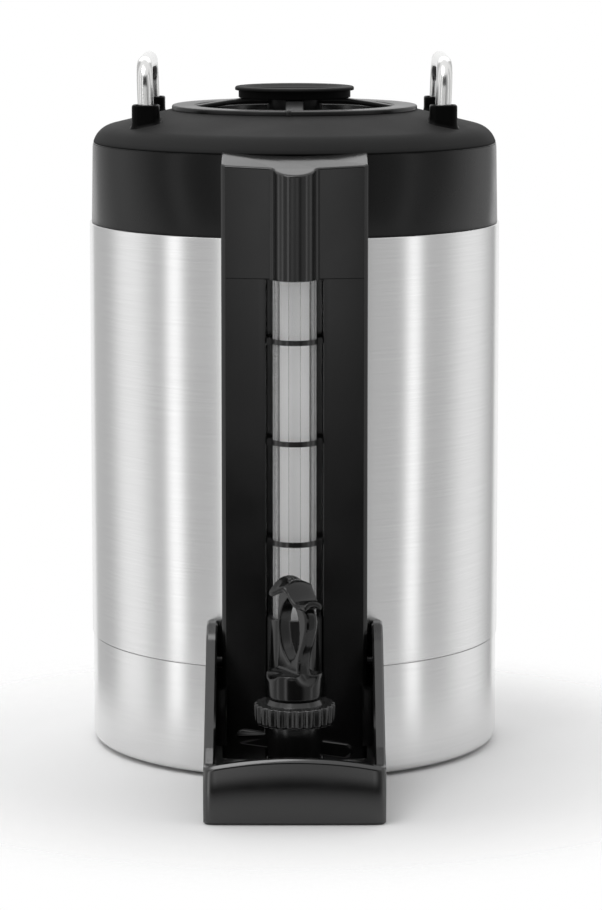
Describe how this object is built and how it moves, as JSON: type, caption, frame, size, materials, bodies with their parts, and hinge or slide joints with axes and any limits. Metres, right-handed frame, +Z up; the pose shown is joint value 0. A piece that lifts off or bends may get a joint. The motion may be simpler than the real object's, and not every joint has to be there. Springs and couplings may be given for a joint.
{
  "type": "insulated coffee server with tap",
  "caption": "Insulated steel coffee server with black shoulder cap, lift-off lid, wire carry loops, sight gauge and spring-closed tap in a guard.",
  "frame": {"origin": "on the axis of the vessel, in the plane it stands on", "axes": "+Z up along the vessel, tap towards -Y"},
  "size_m": [0.21, 0.295, 0.355],
  "materials": {
    "brushed_steel": "brushed",
    "liner_steel": "satin",
    "polished_steel": "polished",
    "black_matte": "matte",
    "black_gloss": "gloss",
    "rubber_black": "matte",
    "silicone": "matte",
    "white_plastic": "matte",
    "clear_plastic": "clear"
  },
  "bodies": {
    "server": {"outer_shell": "brushed_steel", "inner_vessel": "liner_steel", "liner_floor": "liner_steel", "liner_shoulder": "liner_steel", "outlet_tube": "liner_steel", "base_shell": "brushed_steel", "base_plate": "black_matte", "foot_pad": "rubber_black", "base_screws": "polished_steel", "shoulder_cap": "black_matte", "cap_gasket": "rubber_black", "handle_collars": "black_matte", "handle_left": "polished_steel", "handle_right": "polished_steel", "handle_nuts": "polished_steel", "tower": "black_gloss", "tower_screws": "polished_steel", "gauge_backing": "white_plastic", "sight_shield": "clear_plastic", "gauge_glass": "clear_plastic", "gauge_cap": "black_matte", "upper_seal": "rubber_black", "lower_seal": "rubber_black", "tube_clips": "black_matte", "gauge_socket": "black_matte", "tap_shank": "liner_steel", "shank_washer": "rubber_black", "shank_nut": "liner_steel", "wing_nut": "black_matte", "tap_body": "black_gloss", "bonnet": "black_matte", "stem_spring": "liner_steel", "guard": "black_gloss", "guard_screws": "polished_steel"},
    "lid_seal": {"lid_gasket": "rubber_black"},
    "lid": {"lid_ring": "black_matte", "lid_basin": "black_matte", "lid_knob": "black_matte", "knob_screw": "polished_steel"},
    "valve": {"seat_cup": "silicone"},
    "stem": {"valve_stem": "liner_steel", "handle_pin": "polished_steel"},
    "handle": {"tap_handle": "black_gloss"}
  },
  "joints": [
    {"name": "lid_lift", "type": "slide", "parent": "server", "child": "lid_seal", "axis": [0, 0, 1], "range_m": [0, 0.08]},
    {"name": "lid_turn", "type": "hinge", "parent": "lid_seal", "child": "lid", "pos_m": [0, 0, 0.33], "axis": [0, 0, 1], "range_deg": [0, 45]},
    {"name": "valve_lift", "type": "slide", "parent": "server", "child": "valve", "axis": [0, 0, 1], "range_m": [0, 0.0075], "deforming": ["stem_spring"]},
    {"name": "stem_swivel", "type": "hinge", "parent": "valve", "child": "stem", "pos_m": [0, -0.156, 0.06], "axis": [0, 0, 1], "continuous": true},
    {"name": "handle_tilt", "type": "hinge", "parent": "stem", "child": "handle", "pos_m": [0, -0.156, 0.0605], "axis": [0.866, 0.5, 0], "range_deg": [0, 30], "stiffness_Nm_per_rad": 0.1, "springref_deg": -11.46}
  ],
  "couplings": [
    {"joint": "valve_lift", "follows": "handle_tilt", "m_per_rad": 0.0137}
  ]
}
